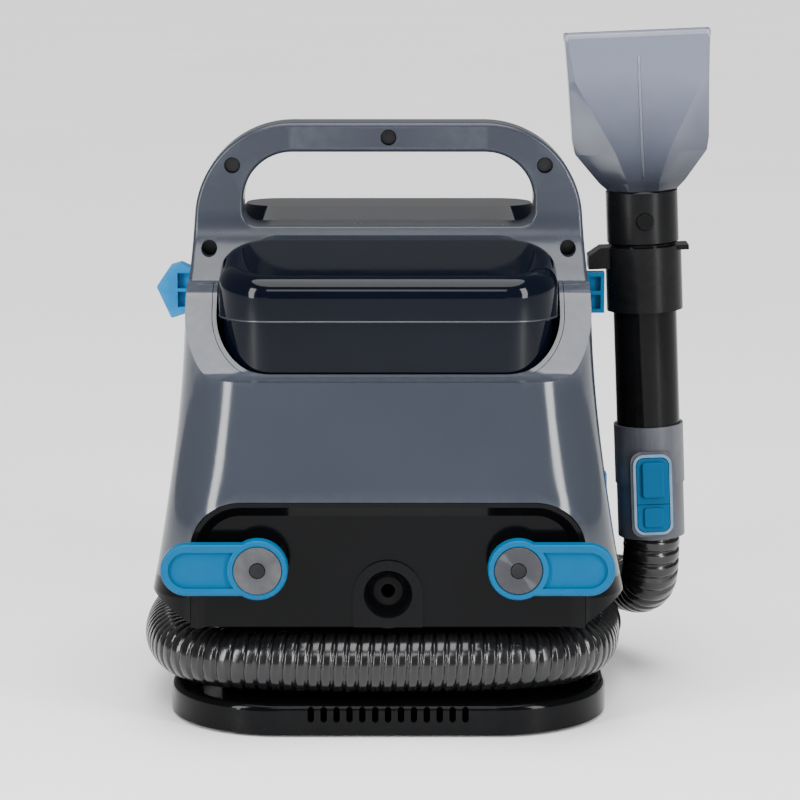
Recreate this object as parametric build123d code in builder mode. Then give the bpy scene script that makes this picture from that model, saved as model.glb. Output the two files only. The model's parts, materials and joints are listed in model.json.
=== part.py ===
"""Portable carpet spot cleaner, modelled as it comes apart on a bench.

A low black foot and a narrow waist carry a flared body. The hose is wound once round the waist and
runs up to a hand tool that hangs in a collar on the right. A dirty-water tank stands in a well in
front of the carrying handle and a clean-water tank stands in a well behind it.

Frame: millimetres, +X to the machine's right as seen from the front, +Y to the back, +Z up.
The origin is on the floor under the middle of the foot. The front of the machine faces -Y.
"""

import os
from math import cos, pi, radians, sin, tan

from build123d import *

os.makedirs("parts", exist_ok=True)

# ------------------------------------------------------------------ driving dimensions
wall = 3.0  # body mouldings
thin_wall = 2.4  # tanks, lids and wells
gap = 0.4  # between two fixed mouldings that meet
loose = 4.0  # round a tank in its well
lid_play = 1.5  # round a lid as it comes up past the deck and the handle
running = 0.08  # radial play of a turning fit

# foot, waist and the hose channel
foot_width, foot_depth, foot_corner = 264.0, 250.0, 68.0
foot_bottom, foot_top = 2.0, 20.0
ring_inset, ring_band = 6.0, 9.0
waist_width, waist_depth, waist_corner = 206.0, 184.0, 60.0
channel_top = 67.0
vent_count, vent_pitch, vent_width, vent_height = 13, 7.6, 3.8, 9.5
vent_sill = foot_top - vent_height - 1.2

# body: vertical at the foot of the flare, slimmer towards the top
body_foot, body_top = 84.0, 260.0
shell_foot = 93.0  # the seam between the black tub and the grey shell
brow_height = 142.0  # top of the front panel's arch
low_width, low_depth, low_corner = 280.0, 256.0, 38.0
top_width, top_depth, top_corner = 242.0, 217.0, 46.0
side_flare, brow_flare = 1.8, 2.5  # powers of the two flares
tub_floor_width = 224.0
rim_front_z, rim_run_front, rim_run_back = 210.0, 101.0, 50.0
rim_thickness = 6.0

# front panel and its two cord hooks
arch_width, arch_corner = 232.0, 30.0
panel_recess, panel_sheet = 5.0, 3.5
band_width, band_lip, band_rise = 8.5, 3.0, 3.4  # the raised band round the front panel
hook_x, hook_z = 75.6, 105.6
boss_radius, boss_length = 16.6, 14.0
hook_ring_radius, hook_thickness = 17.7, 8.0
hook_reach, hook_paddle_width, hook_rim, hook_sink = 41.0, 30.4, 4.6, 1.8
pivot_radius, cap_radius, cap_thickness, cap_bore = 8.0, 13.9, 3.0, 4.8
outlet_radius, outlet_z, outlet_plate = 20.3, 86.7, 1.6
bowl_radius, bowl_depth, gland_radius, cord_bore = 14.3, 8.0, 8.5, 4.2

# tanks, wells and lids
tank_width, tank_corner = 197.0, 30.0
front_tank_depth, rear_tank_depth = 82.0, 64.0
front_tank_y, rear_tank_y = -54.0, 63.0
well_floor = 112.0
lid_step = 2.5  # a lid is this much proud of its tank all round
lid_line, lid_front_z, lid_back_z, lid_round = 243.0, 268.0, 287.0, 13.0
lid_lap = 7.0
rear_lid_line, rear_lid_top, rear_lid_round = 262.0, 297.0, 11.0
filler_radius, filler_neck, filler_height, filler_lap = 21.0, 16.0, 11.0, 6.0
cap_grips, cap_grip_radius = 24, 1.4
valve_x, valve_stem, valve_head = 40.0, 3.0, 6.5
valve_seat, valve_lift, valve_travel = 7.0, 0.6, 7.4  # heights inside the filler cap
socket_radius, socket_depth, socket_bore = 9.0, 8.0, 2.5

# carrying handle
handle_mid_y, handle_half_depth = 9.0, 15.0
handle_foot_reach = 43.0  # from the joint plane to the toe of each leg
handle_blend_z = 300.0
handle_top, handle_top_width, handle_corner = 353.0, 230.0, 60.0
window_width, window_bottom, window_top = 178.0, 290.0, 335.0
window_corner, window_sill_corner = 30.0, 9.0
handle_edge = 2.5
screw_spots = [(0.0, 344.0), (-95.5, 327.0), (95.5, 327.0), (-109.5, 277.0), (109.5, 277.0)]
screw_head_radius, screw_shank_radius, screw_well_radius, screw_well_depth = 4.2, 1.8, 4.9, 7.0

# hose and its port
hose_radius, hose_bore = 17.8, 14.5
hose_z = 41.0
port_x, port_mouth_y, port_y, port_radius = 125.5, -8.0, 11.5, 19.5

# hand tool: leans a little towards the machine
wand_off_body, wand_y, wand_z, wand_lean = 25.2, 15.0, 93.0, 2.4  # first: from the body's widest side
tube_radius, tube_wall, tube_socket = 19.7, 2.7, 28.0
cuff_radius, cuff_low_radius, cuff_height, cuff_step = 21.7, 20.9, 71.0, 34.0
socket_play = 0.15
collar_low, collar_height, collar_radius = 143.0, 40.0, 23.6
neck_low, neck_height, neck_radius = 184.5, 33.5, 22.2
neck_lap = 20.0
nozzle_length, nozzle_mouth_width, nozzle_mouth_depth, nozzle_wall = 97.0, 89.2, 16.0, 2.0
pad_width, pad_height, pad_mid, pad_reach = 27.0, 54.0, 29.5, 23.0
frame_width, frame_height, frame_thickness, frame_band = 24.0, 50.6, 1.6, 1.7
latch_corner, latch_split, latch_plate = 5.0, -6.0, 3.6  # the split is between trigger and lock
trigger_width, trigger_height, trigger_up = 13.6, 22.0, 9.5
lock_size, lock_down = 12.4, 14.2
button_radius, button_up = 5.0, 15.0

# tool brackets on the body's sides
bracket_y, bracket_low, bracket_high = 6.0, 235.0, 260.0
spool_depth, spool_reach, spool_sheet = 10.0, 10.5, 2.4
hanger_depth, hanger_reach, hanger_cell = 14.0, 21.5, 8.5

# power switch on the right side
switch_z, switch_y, switch_tilt = 118.5, 4.0, 10.0
bezel_height, bezel_width = 46.0, 24.0
rocker_height, rocker_width = 30.0, 15.0

# suction motor, fan, pump and board
motor_x, motor_y, motor_radius, motor_low, motor_high = -34.0, 0.0, 42.0, 12.0, 66.0
fan_radius, fan_case_radius, fan_case_height = 44.0, 48.0, 24.0
shaft_radius = 4.0
pump_x, pump_y = 58.0, -34.0

# ------------------------------------------------------------------ derived places
front_y = -low_depth / 2
plateau_y = front_y + panel_recess
hook_back_y = plateau_y - boss_length
hook_front_y = hook_back_y - hook_thickness
well_width = tank_width + 2 * loose
well_corner = tank_corner + loose
front_well_depth = front_tank_depth + 2 * loose
rear_well_depth = rear_tank_depth + 2 * loose
tank_floor = well_floor + thin_wall + 1.0
valve_spots = [(valve_x, rear_tank_y)]
handle_front_y = handle_mid_y - handle_half_depth

wand_x = low_width / 2 + wand_off_body
wand = Plane(
    origin=(wand_x, wand_y, wand_z),
    x_dir=(cos(radians(wand_lean)), 0, sin(radians(wand_lean))),
    z_dir=(-sin(radians(wand_lean)), 0, cos(radians(wand_lean))),
)


def along_wand(height, x=0.0, y=0.0):
    """The point at this height up the hand tool's axis."""
    return wand.from_local_coords(Vector(x, y, height))


def wand_front(height, y=0.0):
    """A plane across the hand tool that faces the front: its x is across, its y is up the tool."""
    return Plane(origin=along_wand(height, 0, y), x_dir=wand.x_dir, z_dir=-wand.y_dir)


def save(node, name):
    """Labels a finished piece and writes it as one STEP file."""
    node.part.label = name
    export_step(node.part, f"parts/{name}.step")


# ------------------------------------------------------------------ shared forms
def front_plane(y):
    """An upright plane that faces the front: its x is the machine's x and its y is up."""
    return Plane(origin=(0, y, 0), x_dir=(1, 0, 0), z_dir=(0, -1, 0))


def block(width, depth, corner, bottom, top, middle_y=0.0):
    """An upright block with a rounded-rectangle plan."""
    with BuildPart(mode=Mode.PRIVATE) as form:
        with BuildSketch(Plane.XY.offset(bottom)):
            with Locations((0, middle_y)):
                RectangleRounded(width, depth, corner)
        extrude(amount=top - bottom)
    return form.part


def disc(plane, radius, height, bore=0.0, spots=((0, 0),)):
    """Round discs or rings standing on a plane, one at each spot."""
    with BuildPart(mode=Mode.PRIVATE) as form:
        with BuildSketch(plane):
            with Locations(*spots):
                Circle(radius)
                if bore > 0:
                    Circle(bore, mode=Mode.SUBTRACT)
        extrude(amount=height)
    return form.part


def flare(z, foot, power):
    """How far the body is spread at a height: 1 at the flare's foot and 0 at the body's top."""
    share = (body_top - z) / (body_top - foot)
    return max(0.0, min(1.0, share)) ** power


def body_form(inset, bottom, top):
    """The flared body as a closed solid, inset all round, between two heights."""
    steps = 8
    middle = [bottom + (top - bottom) * step / steps for step in range(1, steps)]
    with BuildPart(mode=Mode.PRIVATE) as form:
        for z in [bottom] + middle + [top]:
            width = top_width + (low_width - top_width) * flare(z, body_foot, side_flare)
            depth = top_depth + (low_depth - top_depth) * flare(z, brow_height, brow_flare)
            corner = top_corner + (low_corner - top_corner) * flare(z, body_foot, side_flare)
            with BuildSketch(Plane.XY.offset(z)):
                RectangleRounded(width - 2 * inset, depth - 2 * inset, corner - inset)
        loft()
    return form.part


def tub_form(inset, bottom, top):
    """The underside of the body: upright at the front, sloping in to the floor at the sides."""
    with BuildPart(mode=Mode.PRIVATE) as form:
        with BuildSketch(Plane.XY.offset(bottom)):
            RectangleRounded(low_width - 2 * inset, low_depth - 2 * inset, low_corner - inset)
        extrude(amount=top - bottom)
        floor_half = tub_floor_width / 2 - inset
        foot_half = low_width / 2 - inset
        with BuildSketch(front_plane(0)):
            with BuildLine():
                Polyline(
                    (-floor_half, channel_top),
                    (floor_half, channel_top),
                    (foot_half, body_foot),
                    (-foot_half, body_foot),
                    close=True,
                )
            make_face()
        extrude(amount=low_depth, both=True, mode=Mode.INTERSECT)
    return form.part


def arch_form(width, top, corner, back, depth):
    """An upright slab with the front panel's outline: square at the foot and round at the top."""
    with BuildPart(mode=Mode.PRIVATE) as form:
        with BuildSketch(front_plane(back)) as outline:
            with Locations((0, (channel_top + top) / 2)):
                Rectangle(width, top - channel_top)
            fillet(outline.vertices().group_by(Axis.Y)[-1], radius=corner)
        extrude(amount=depth)
    return form.part


def arch_sketch(inset):
    """The front panel's outline, inset at the sides and the top but not at its open foot."""
    with BuildSketch(mode=Mode.PRIVATE) as outline:
        with Locations((0, (channel_top + brow_height - inset) / 2)):
            Rectangle(arch_width - 2 * inset, brow_height - inset - channel_top)
        fillet(outline.vertices().group_by(Axis.Y)[-1], radius=arch_corner - inset)
    return outline.sketch


def rim_cutter(drop):
    """What lies above the sloping rims in front of and behind the handle."""
    with BuildPart(mode=Mode.PRIVATE) as form:
        for side in (-1, 1):
            with BuildSketch(Plane.YZ):
                with BuildLine():
                    FilletPolyline(
                        (side * low_depth, rim_front_z - drop),
                        (side * rim_run_front, rim_front_z - drop),
                        (side * rim_run_back, body_top - drop),
                        (side * (rim_run_back - 40), body_top - drop + 0.01),
                        radius=[24.0, 30.0],
                    )
                    Polyline(
                        (side * (rim_run_back - 40), body_top - drop + 0.01),
                        (side * (rim_run_back - 40), body_top + 90),
                        (side * low_depth, body_top + 90),
                        (side * low_depth, rim_front_z - drop),
                    )
                make_face()
            extrude(amount=low_width, both=True)
    return form.part


def well_blocks(spread, bottom, top):
    """The two upright blocks that the tanks' wells take up, spread by a wall or a gap."""
    width, corner = well_width + 2 * spread, well_corner + spread
    front = block(width, front_well_depth + 2 * spread, corner, bottom, top, front_tank_y)
    rear = block(width, rear_well_depth + 2 * spread, corner, bottom, top, rear_tank_y)
    return front + rear


body_solid = body_form(0, shell_foot, body_top)
body_inside = body_form(wall, shell_foot, body_top - rim_thickness) - rim_cutter(rim_thickness)
arch_cut = arch_form(arch_width, brow_height, arch_corner, plateau_y + panel_sheet + gap, 40)

bowl_back = plateau_y + bowl_depth
outlet_cup = disc(front_plane(bowl_back + 2 * wall + gap), bowl_radius + wall + gap, 40, 0, [(0, outlet_z)])

# ------------------------------------------------------------------ foot
with BuildPart() as foot_ring:
    add(block(foot_width - 2 * ring_inset, foot_depth - 2 * ring_inset, foot_corner - ring_inset,
              0, foot_bottom))
    ring_hole = 2 * (ring_inset + ring_band)
    add(block(foot_width - ring_hole, foot_depth - ring_hole, foot_corner - ring_inset - ring_band,
              0, foot_bottom), mode=Mode.SUBTRACT)
save(foot_ring, "foot_ring")

plate_inset = wall + gap
screw_x, screw_y = foot_width / 2 - 40, foot_depth / 2 - 40
plate_screws = [(x * screw_x, y * screw_y) for x in (-1, 1) for y in (-1, 1)]
with BuildPart() as base_plate:
    add(block(foot_width - 2 * plate_inset, foot_depth - 2 * plate_inset, foot_corner - plate_inset,
              foot_bottom, foot_bottom + wall))
    with Locations(base_plate.faces().sort_by(Axis.Z)[0]):
        with Locations(*plate_screws):
            CounterBoreHole(screw_shank_radius + gap, screw_head_radius + gap, wall / 2)
save(base_plate, "base_plate")

with BuildPart() as base_foot:
    add(block(foot_width, foot_depth, foot_corner, foot_bottom, foot_top))
    fillet(base_foot.faces().sort_by(Axis.Z)[-1].edges(), radius=4.0)
    add(block(foot_width - 2 * wall, foot_depth - 2 * wall, foot_corner - wall,
              foot_bottom, foot_top - wall), mode=Mode.SUBTRACT)
    add(block(waist_width - 2 * wall, waist_depth - 2 * wall, waist_corner - wall,
              foot_bottom, foot_top), mode=Mode.SUBTRACT)
    add(disc(Plane.XY.offset(foot_bottom + wall), screw_head_radius, foot_top - 2 * wall - foot_bottom,
             screw_shank_radius, plate_screws))
    with BuildSketch(front_plane(-foot_depth / 2 + 2 * wall)):
        with Locations((0, vent_sill + vent_height / 2)):
            with GridLocations(vent_pitch, 0, vent_count, 1):
                SlotOverall(vent_height, vent_width, rotation=90)
    extrude(amount=3 * wall, mode=Mode.SUBTRACT)
save(base_foot, "base_foot")

with BuildPart() as base_screws:
    add(disc(Plane.XY.offset(foot_bottom), screw_head_radius, wall / 2, 0, plate_screws))
    add(disc(Plane.XY.offset(foot_bottom), screw_shank_radius, foot_top - wall - foot_bottom - gap, 0,
             plate_screws))
save(base_screws, "base_screws")

# the port that the hose starts from, an elbow out of the waist
elbow_reach = waist_width / 2 - wall
with BuildPart() as hose_port:
    with BuildSketch(front_plane(port_y)):
        with Locations((port_x, hose_z)):
            Circle(port_radius)
    extrude(amount=port_y - port_mouth_y)
    with BuildSketch(Plane.YZ.offset(elbow_reach)):
        with Locations((port_y, hose_z)):
            Circle(port_radius)
    extrude(amount=port_x - elbow_reach)
    with BuildPart(mode=Mode.PRIVATE) as elbow_ball:
        with Locations((port_x, port_y, hose_z)):
            Sphere(port_radius)
    add(elbow_ball.part)
    with BuildSketch(front_plane(port_y)):
        with Locations((port_x, hose_z)):
            Circle(hose_bore)
    extrude(amount=port_y - port_mouth_y, mode=Mode.SUBTRACT)
    with BuildSketch(Plane.YZ.offset(elbow_reach)):
        with Locations((port_y, hose_z)):
            Circle(hose_bore)
    extrude(amount=port_x - elbow_reach, mode=Mode.SUBTRACT)
    with BuildPart(mode=Mode.PRIVATE) as elbow_bore:
        with Locations((port_x, port_y, hose_z)):
            Sphere(hose_bore)
    add(elbow_bore.part, mode=Mode.SUBTRACT)
save(hose_port, "hose_port")

port_hole = disc(Plane.YZ.offset(elbow_reach - wall), port_radius + gap, port_x - elbow_reach, 0,
                 [(port_y, hose_z)])
with BuildPart() as waist_core:
    add(block(waist_width, waist_depth, waist_corner, foot_top, channel_top))
    add(block(waist_width - 2 * wall, waist_depth - 2 * wall, waist_corner - wall,
              foot_top, channel_top), mode=Mode.SUBTRACT)
    add(port_hole, mode=Mode.SUBTRACT)
save(waist_core, "waist_core")

# ------------------------------------------------------------------ body
with BuildPart() as lower_tub:
    add(tub_form(0, channel_top, body_foot))
    add(body_form(0, body_foot, shell_foot))
    add(tub_form(wall, channel_top + wall, body_foot), mode=Mode.SUBTRACT)
    add(body_form(wall, body_foot, shell_foot), mode=Mode.SUBTRACT)
    add(outlet_cup, mode=Mode.SUBTRACT)
    add(block(waist_width - 2 * wall, waist_depth - 2 * wall, waist_corner - wall,
              channel_top, channel_top + wall), mode=Mode.SUBTRACT)
    add(arch_cut, mode=Mode.SUBTRACT)
save(lower_tub, "lower_tub")

switch_share = flare(switch_z, body_foot, side_flare)
switch_x = (top_width + (low_width - top_width) * switch_share) / 2
switch_plane = Plane(
    origin=(switch_x, switch_y, switch_z),
    x_dir=(0, 1, 0),
    z_dir=(cos(radians(switch_tilt)), 0, sin(radians(switch_tilt))),
)
with BuildPart() as switch_cut:
    with BuildSketch(switch_plane.offset(-2 * wall)):
        RectangleRounded(bezel_width + gap, bezel_height + gap, 4)
    extrude(amount=6 * wall)

with BuildPart() as body_shell:
    add(body_solid)
    add(rim_cutter(0), mode=Mode.SUBTRACT)
    add(body_inside, mode=Mode.SUBTRACT)
    add(well_blocks(thin_wall + gap, well_floor, body_top), mode=Mode.SUBTRACT)
    add(arch_cut, mode=Mode.SUBTRACT)
    add(switch_cut.part, mode=Mode.SUBTRACT)
save(body_shell, "body_shell")

wells = well_blocks(thin_wall, well_floor, body_top) - well_blocks(0, well_floor + thin_wall, body_top)
wells = (wells - rim_cutter(0)).solids().sort_by(Axis.Y)
with BuildPart() as front_well:
    add(wells[0])
save(front_well, "front_well")
with BuildPart() as rear_well:
    add(wells[-1])
    add(disc(Plane.XY.offset(well_floor - socket_depth), socket_radius, socket_depth + thin_wall, 0,
             valve_spots))
    add(disc(Plane.XY.offset(well_floor - socket_depth), socket_bore, 2 * socket_depth, 0, valve_spots),
        mode=Mode.SUBTRACT)
save(rear_well, "rear_well")

# ------------------------------------------------------------------ front panel and cord hooks
hub_spots = [(-hook_x, hook_z), (hook_x, hook_z)]
pivot_end_y = hook_front_y + cap_thickness - 0.6
with BuildPart() as front_panel:
    add(arch_form(arch_width - 2 * gap, brow_height - gap, arch_corner - gap, plateau_y + panel_sheet,
                  panel_sheet + band_rise))
    with BuildSketch(front_plane(plateau_y - band_rise)):
        add(arch_sketch(band_lip))
    with BuildSketch(front_plane(plateau_y)):
        add(arch_sketch(band_width))
    loft(mode=Mode.SUBTRACT)
    add(disc(front_plane(plateau_y), boss_radius, boss_length, 0, hub_spots))
    add(disc(front_plane(plateau_y), pivot_radius, plateau_y - pivot_end_y, 0, hub_spots))
    with BuildSketch(front_plane(plateau_y)):
        with Locations((0, outlet_z)):
            Circle(outlet_radius)
        with Locations((0, (channel_top + outlet_z) / 2)):
            Rectangle(2 * outlet_radius, outlet_z - channel_top)
    extrude(amount=outlet_plate)
    add(disc(front_plane(bowl_back + 2 * wall), bowl_radius + wall, 2 * wall + bowl_depth, 0,
             [(0, outlet_z)]))
    with BuildSketch(front_plane(plateau_y - outlet_plate)):
        with Locations((0, outlet_z)):
            Circle(bowl_radius)
    with BuildSketch(front_plane(bowl_back)):
        with Locations((0, outlet_z)):
            Circle(gland_radius)
    loft(mode=Mode.SUBTRACT)
    add(disc(front_plane(bowl_back + 2 * wall), gland_radius, 2 * wall, 0, [(0, outlet_z)]),
        mode=Mode.SUBTRACT)
    add(disc(front_plane(plateau_y + panel_sheet), screw_shank_radius, 60, 0, hub_spots),
        mode=Mode.SUBTRACT)
save(front_panel, "front_panel")

with BuildPart() as cord_grommet:
    add(disc(front_plane(bowl_back + 2 * wall), gland_radius, 2 * wall, cord_bore, [(0, outlet_z)]))
save(cord_grommet, "cord_grommet")

for side, side_name in ((-1, "left"), (1, "right")):
    with BuildPart() as hook:
        with BuildSketch(front_plane(hook_back_y)):
            with Locations((side * hook_x, hook_z)):
                Circle(hook_ring_radius)
            with Locations((side * (hook_x + hook_reach / 2), hook_z)):
                SlotOverall(hook_reach + hook_paddle_width, hook_paddle_width)
        extrude(amount=hook_thickness)
        fillet(hook.faces().sort_by(Axis.Y)[0].edges(), radius=1.6)
        with BuildSketch(front_plane(hook_front_y)):
            with Locations((side * (hook_x + hook_reach / 2), hook_z)):
                SlotOverall(hook_reach + hook_paddle_width - 2 * hook_rim, hook_paddle_width - 2 * hook_rim)
            with Locations((side * hook_x, hook_z)):
                Circle(hook_ring_radius - 0.2, mode=Mode.SUBTRACT)
        extrude(amount=-hook_sink, mode=Mode.SUBTRACT)
        add(disc(front_plane(hook_back_y), pivot_radius + running, hook_thickness, 0,
                 [(side * hook_x, hook_z)]), mode=Mode.SUBTRACT)
        add(disc(front_plane(pivot_end_y + gap), cap_radius + gap, 4 * wall, 0,
                 [(side * hook_x, hook_z)]), mode=Mode.SUBTRACT)
    save(hook, f"{side_name}_hook")

with BuildPart() as hook_caps:
    add(disc(front_plane(pivot_end_y), cap_radius, cap_thickness, 0, hub_spots))
    fillet(hook_caps.faces().sort_by(Axis.Y)[0].edges(), radius=0.8)
    add(disc(front_plane(pivot_end_y - 1.4), cap_bore, cap_thickness, 0, hub_spots), mode=Mode.SUBTRACT)
    add(disc(front_plane(pivot_end_y), screw_shank_radius, cap_thickness, 0, hub_spots),
        mode=Mode.SUBTRACT)
save(hook_caps, "hook_caps")

with BuildPart() as hook_screws:
    add(disc(front_plane(pivot_end_y - 1.4), screw_head_radius, 1.2, 0, hub_spots))
    add(disc(front_plane(plateau_y), screw_shank_radius, plateau_y - pivot_end_y + 1.4, 0, hub_spots))
save(hook_screws, "hook_screws")

# ------------------------------------------------------------------ carrying handle
def handle_outline(inset):
    """One half of the handle as seen from the front, with its window open, inset all round."""
    foot_half = top_width / 2 - inset
    top_half = handle_top_width / 2 - inset
    window_height = window_top - window_bottom + 2 * inset
    with BuildSketch(mode=Mode.PRIVATE) as window:
        with Locations((0, (window_bottom + window_top) / 2)):
            Rectangle(window_width + 2 * inset, window_height)
        fillet(window.vertices().group_by(Axis.Y)[-1], radius=window_corner + inset)
        fillet(window.vertices().group_by(Axis.Y)[0], radius=window_sill_corner)
    with BuildSketch(mode=Mode.PRIVATE) as outline:
        with BuildLine():
            FilletPolyline(
                (-foot_half, body_top),
                (-top_half, handle_top - inset),
                (top_half, handle_top - inset),
                (foot_half, body_top),
                radius=[handle_corner - inset, handle_corner - inset],
            )
            Line((foot_half, body_top), (-foot_half, body_top))
        make_face()
        add(window.sketch, mode=Mode.SUBTRACT)
    return outline.sketch


def swept_cutter(side):
    """What lies beyond the handle's face on one side: flat high up, swept out to the toes at the foot."""
    face = handle_mid_y + side * handle_half_depth
    toe = handle_mid_y + side * handle_foot_reach
    with BuildPart(mode=Mode.PRIVATE) as form:
        with BuildSketch(Plane.YZ):
            with BuildLine():
                sweep_line = Spline(
                    (face, handle_blend_z),
                    (toe, body_top),
                    tangents=[(0, -1), (side * 0.8, -0.6)],
                )
                Polyline(
                    sweep_line @ 1,
                    (toe + side * low_depth, body_top),
                    (toe + side * low_depth, handle_top + 1),
                    (face, handle_top + 1),
                    sweep_line @ 0,
                )
            make_face()
        extrude(amount=low_width, both=True)
    return form.part


lid_width = tank_width + 2 * lid_step
lid_depth = front_tank_depth + 2 * lid_step
rear_lid_depth = rear_tank_depth + 2 * lid_step
lid_corner = tank_corner + lid_step
lid_space = block(lid_width + 2 * lid_play, lid_depth + 2 * lid_play, lid_corner + lid_play,
                  body_top, handle_top, front_tank_y)
rear_lid_space = block(lid_width + 2 * lid_play, rear_lid_depth + 2 * lid_play, lid_corner + lid_play,
                       body_top, handle_top, rear_tank_y)
front_sweep = swept_cutter(-1)
rear_sweep = swept_cutter(1)
handle_back_y = handle_mid_y + handle_half_depth
with BuildPart() as handle_front:
    with BuildSketch(front_plane(handle_mid_y)):
        add(handle_outline(0))
    extrude(amount=handle_foot_reach)
    add(front_sweep, mode=Mode.SUBTRACT)
    flat_face = handle_front.faces().filter_by(Axis.Y).sort_by(Axis.Y)[0]
    fillet(flat_face.edges().filter_by(lambda e: e.center().Z > handle_blend_z + 1), radius=handle_edge)
    add(lid_space, mode=Mode.SUBTRACT)
    with BuildSketch(front_plane(handle_mid_y)):
        add(handle_outline(wall))
    extrude(amount=handle_half_depth - wall, mode=Mode.SUBTRACT)
    add(disc(front_plane(handle_mid_y), screw_well_radius + 1.5, handle_half_depth - 1, 0, screw_spots))
    add(disc(front_plane(handle_front_y + screw_well_depth), screw_well_radius, 60, 0, screw_spots),
        mode=Mode.SUBTRACT)
    add(disc(front_plane(handle_mid_y), screw_shank_radius, 60, 0, screw_spots), mode=Mode.SUBTRACT)
save(handle_front, "handle_front")

with BuildPart() as handle_rear:
    with BuildSketch(front_plane(handle_mid_y + handle_foot_reach)):
        add(handle_outline(0))
    extrude(amount=handle_foot_reach)
    add(rear_sweep, mode=Mode.SUBTRACT)
    flat_face = handle_rear.faces().filter_by(Axis.Y).sort_by(Axis.Y)[-1]
    fillet(flat_face.edges().filter_by(lambda e: e.center().Z > handle_blend_z + 1), radius=handle_edge)
    add(rear_lid_space, mode=Mode.SUBTRACT)
    with BuildSketch(front_plane(handle_back_y - wall)):
        add(handle_outline(wall))
    extrude(amount=handle_half_depth - wall, mode=Mode.SUBTRACT)
    add(disc(front_plane(handle_back_y - 1), screw_well_radius, handle_half_depth - 1, 0, screw_spots))
    add(disc(front_plane(handle_back_y - wall), screw_shank_radius, 60, 0, screw_spots), mode=Mode.SUBTRACT)
save(handle_rear, "handle_rear")

with BuildPart() as handle_screws:
    add(disc(front_plane(handle_front_y + screw_well_depth), screw_head_radius, 3.0, 0, screw_spots))
    add(disc(front_plane(handle_back_y - 2 * wall), screw_shank_radius,
             2 * handle_half_depth - 2 * wall - screw_well_depth, 0, screw_spots))
save(handle_screws, "handle_screws")

# ------------------------------------------------------------------ dirty-water tank
with BuildPart() as recovery_tank:
    add(block(tank_width, front_tank_depth, tank_corner, tank_floor, lid_line, front_tank_y))
    fillet(recovery_tank.faces().sort_by(Axis.Z)[0].edges(), radius=5)
    add(block(tank_width - 2 * thin_wall, front_tank_depth - 2 * thin_wall, tank_corner - thin_wall,
              tank_floor + thin_wall, lid_line, front_tank_y), mode=Mode.SUBTRACT)
save(recovery_tank, "recovery_tank")

lid_plate_z = lid_line + thin_wall
spout_x, spout_y, spout_low, spout_wall = 50.0, 14.0, 192.0, 2.0
spout_width, spout_depth = 30.0, 20.0
with BuildPart() as top_slope:
    with BuildSketch(Plane.YZ):
        with BuildLine():
            Polyline(
                (front_tank_y - lid_depth, lid_front_z - (lid_back_z - lid_front_z) / 2),
                (front_tank_y + lid_depth, lid_back_z + (lid_back_z - lid_front_z) / 2),
                (front_tank_y + lid_depth, handle_top),
                (front_tank_y - lid_depth, handle_top),
                close=True,
            )
        make_face()
    extrude(amount=low_width, both=True)
lid_outer = block(lid_width, lid_depth, lid_corner, lid_line, handle_top - 20, front_tank_y) - top_slope.part
with BuildPart() as recovery_lid:
    add(lid_outer)
    fillet(recovery_lid.faces().sort_by(Axis.Z)[-1].edges(), radius=lid_round)
    add(block(lid_width - 2 * thin_wall, lid_depth - 2 * thin_wall, lid_corner - thin_wall,
              lid_line, lid_front_z - lid_round, front_tank_y), mode=Mode.SUBTRACT)
    add(block(lid_width - 2 * lid_round, lid_depth - 2 * lid_round, lid_corner - lid_round,
              lid_front_z - lid_round, lid_front_z - thin_wall, front_tank_y), mode=Mode.SUBTRACT)
    add(block(lid_width - thin_wall, lid_depth - thin_wall, lid_corner - thin_wall / 2,
              lid_plate_z, lid_plate_z + thin_wall, front_tank_y))
    add(block(tank_width - 2 * thin_wall - 2 * gap, front_tank_depth - 2 * thin_wall - 2 * gap,
              tank_corner - thin_wall - gap, lid_line - lid_lap, lid_plate_z, front_tank_y)
        - block(tank_width - 4 * thin_wall - 2 * gap, front_tank_depth - 4 * thin_wall - 2 * gap,
                tank_corner - 2 * thin_wall - gap, lid_line - lid_lap, lid_plate_z, front_tank_y))
    for inset, mode in ((0, Mode.ADD), (spout_wall, Mode.SUBTRACT)):
        with BuildSketch(Plane.XY.offset(spout_low)):
            with Locations((spout_x, front_tank_y + spout_y)):
                Rectangle(spout_width - 2 * inset, spout_depth - 2 * inset)
        extrude(amount=lid_plate_z - spout_low, mode=mode)
save(recovery_lid, "recovery_lid")

with BuildPart() as lid_seal:
    add(block(tank_width, front_tank_depth, tank_corner, lid_line, lid_plate_z, front_tank_y))
    add(block(tank_width - 2 * thin_wall, front_tank_depth - 2 * thin_wall, tank_corner - thin_wall,
              lid_line, lid_plate_z, front_tank_y), mode=Mode.SUBTRACT)
save(lid_seal, "lid_seal")

# the float rides in a cage under the lid and shuts the air path when the tank is full
cage_x, cage_radius, cage_low, float_radius, float_height = -50.0, 20.0, 192.0, 15.0, 22.0
cage_spots = [(cage_x, front_tank_y)]
with BuildPart() as float_cage:
    add(disc(Plane.XY.offset(cage_low), cage_radius, lid_plate_z - cage_low, cage_radius - 2, cage_spots))
    add(disc(Plane.XY.offset(cage_low), cage_radius, 2.0, 8.0, cage_spots))
    with Locations((cage_x, front_tank_y, cage_low + 24)):
        with PolarLocations(0, 3):
            Box(2 * cage_radius + 4, 9, 34, mode=Mode.SUBTRACT)
save(float_cage, "float_cage")

with BuildPart() as float_cup:
    add(disc(Plane.XY.offset(cage_low + 2.4), float_radius, float_height, 0, cage_spots))
    add(disc(Plane.XY.offset(cage_low + 2.4), float_radius - 2, float_height - 2, 0, cage_spots),
        mode=Mode.SUBTRACT)
save(float_cup, "float_cup")

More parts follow.
